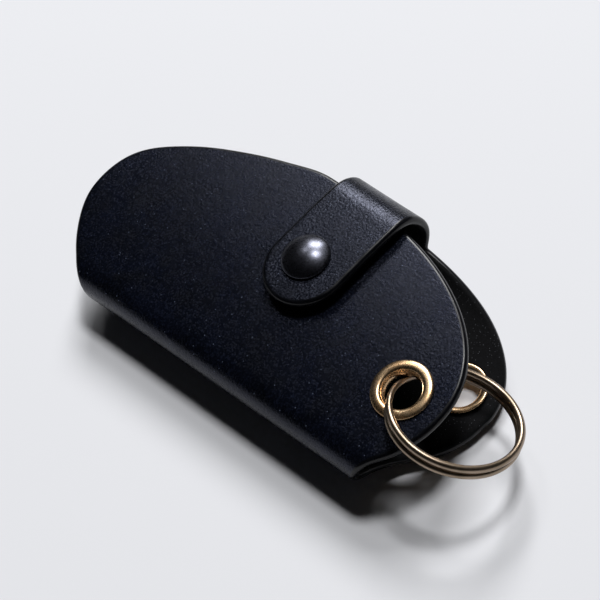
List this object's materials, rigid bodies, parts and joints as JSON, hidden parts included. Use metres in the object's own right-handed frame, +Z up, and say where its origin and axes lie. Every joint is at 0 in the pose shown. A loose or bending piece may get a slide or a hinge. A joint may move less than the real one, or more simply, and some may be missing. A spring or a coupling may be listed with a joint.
{
  "type": "leather key cover",
  "caption": "Folded dark leather key cover closed by a strap with a domed snap, with brass eyelets in both leaves and a split key ring through the front one.",
  "frame": {"origin": "under the middle of the closed cover's box, on the table it lies on", "axes": "+X along the fold towards the key ring, +Y from the fold to the free edges, +Z up from the table"},
  "size_m": [0.115, 0.0514, 0.0246],
  "materials": {
    "leather": "semi-matte dark navy-black vegetable-tanned leather",
    "black_nickel": "glossy black nickel plate",
    "spring_steel": "bright drawn wire",
    "eyelet_brass": "satin brass",
    "ring_bronze": "satin antique brass plate"
  },
  "bodies": {
    "rear": {"rear_leaf": "leather", "spine": "leather", "rear_eyelet": "eyelet_brass"},
    "front": {"front_leaf": "leather", "front_eyelet": "eyelet_brass", "snap_stud": "black_nickel", "snap_post": "black_nickel"},
    "strap_end": {"strap": "leather", "snap_cap": "black_nickel", "snap_socket": "black_nickel", "snap_spring": "spring_steel"},
    "ring": {"key_ring": "ring_bronze"}
  },
  "joints": [
    {"name": "strap_open", "type": "hinge", "parent": "rear", "child": "strap_end", "pos_m": [-0.00016, 0.0233, 0.02182], "axis": [-1, 0, 0], "range_deg": [0, 150]},
    {"name": "cover_open", "type": "hinge", "parent": "rear", "child": "front", "pos_m": [-0.00016, -0.02196, 0.01384], "axis": [1, 0, 0], "range_deg": [0, 12]},
    {"name": "ring_swing", "type": "hinge", "parent": "front", "child": "ring", "pos_m": [0.03374, -0.00878, 0.017], "axis": [0, -0.2063, 0.9785], "range_deg": [-75, 75]}
  ],
  "couplings": [
    {"joint": "cover_open", "follows": "strap_open", "ratio": 0.08}
  ]
}
